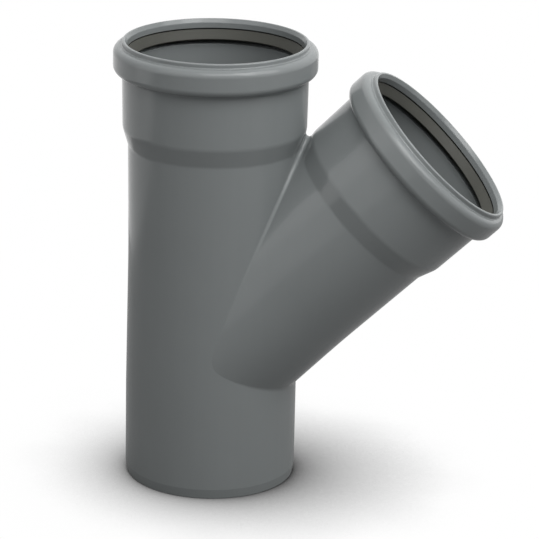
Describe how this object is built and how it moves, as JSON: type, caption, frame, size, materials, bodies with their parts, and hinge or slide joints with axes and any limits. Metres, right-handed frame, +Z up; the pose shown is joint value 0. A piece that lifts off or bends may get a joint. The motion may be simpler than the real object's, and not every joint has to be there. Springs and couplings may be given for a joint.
{
  "type": "45 degree pipe branch",
  "caption": "Grey plastic 45 degree branch for 110 mm drain pipes, with a plain end below and push-fit sockets with lip seals on the run and the branch.",
  "frame": {"origin": "middle of the plain end's face, on the axis of the run", "axes": "+Z up the run from the plain end to its socket, +X towards the side that the branch leaves, so the branch rises in the +X/+Z plane"},
  "size_m": [0.2478, 0.1284, 0.2867],
  "materials": {
    "grey_plastic": "satin, moulded",
    "seal_rubber": "matte"
  },
  "bodies": {
    "root": {"fitting_body": "grey_plastic", "run_seal": "seal_rubber", "branch_seal": "seal_rubber"}
  },
  "joints": []
}
